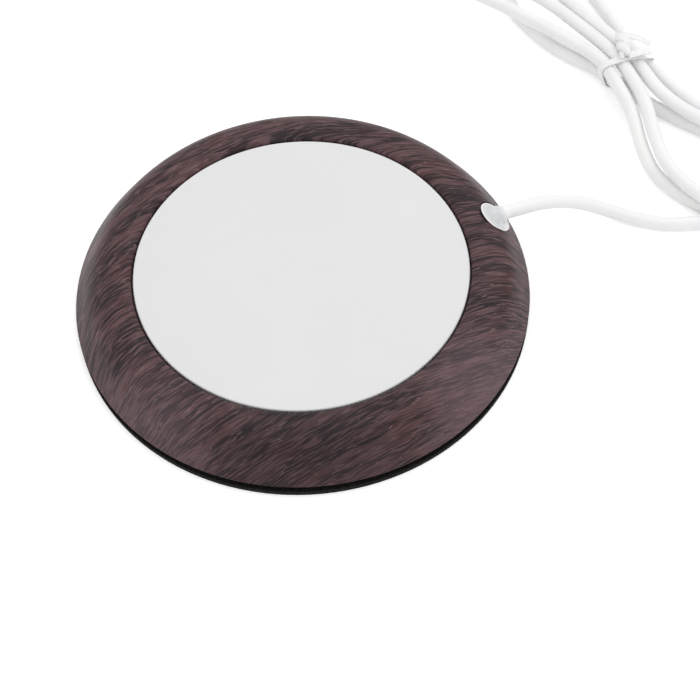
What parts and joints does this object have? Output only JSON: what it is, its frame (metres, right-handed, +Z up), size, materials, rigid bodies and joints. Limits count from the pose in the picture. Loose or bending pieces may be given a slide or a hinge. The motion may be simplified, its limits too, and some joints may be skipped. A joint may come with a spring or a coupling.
{
  "type": "electric mug warmer",
  "caption": "Round low electric mug warmer: a domed dark wood-look ring around a flat white warming plate on a black pad, with a white USB cord gathered and tied in a hank.",
  "frame": {"origin": "centre of the warmer's underside, on the surface that it stands on", "axes": "+Z up through the middle of the warming plate, +X to the right and +Y away from the person who looks at it; the cord leaves 13.4 degrees round from +X towards +Y"},
  "size_m": [0.1985, 0.2328, 0.0132],
  "materials": {
    "ring": "dark wood-grain print, satin",
    "plate": "white, fine satin texture",
    "tape": "plain",
    "spreader": "rolled",
    "film": "polyimide film",
    "trace": "etched foil",
    "solder": "bright",
    "cutoff": "plain",
    "felt": "needled felt",
    "presser": "fibre sheet",
    "base": "black",
    "screw": "zinc plated",
    "adhesive": "film of glue",
    "pad": "matt, cut edge",
    "relief": "white, soft sheen",
    "cord": "white, soft sheen",
    "clamp": "plain",
    "lead": "plain",
    "tie": "white",
    "grip": "white, satin",
    "shell": "nickel plated",
    "tongue": "white",
    "contact": "gold plated"
  },
  "bodies": {
    "root": {"wood_ring": "ring", "heating_plate": "plate", "plate_tape": "tape", "heat_spreader": "spreader", "heater_film": "film", "heater_trace": "trace", "solder_joints": "solder", "thermal_cutoff": "cutoff", "insulation_felt": "felt", "presser_disc": "presser", "base_cover": "base", "base_screws": "screw", "pad_adhesive": "adhesive", "base_pad": "pad", "strain_relief": "relief", "inner_cord": "cord", "cord_clamp": "clamp", "clamp_screws": "screw", "live_lead": "lead", "return_lead": "lead", "cord_run": "cord", "cord_hank": "cord", "hank_tie": "tie", "plug_grip": "grip", "plug_shell": "shell", "plug_tongue": "tongue", "plug_contacts": "contact"}
  },
  "joints": []
}
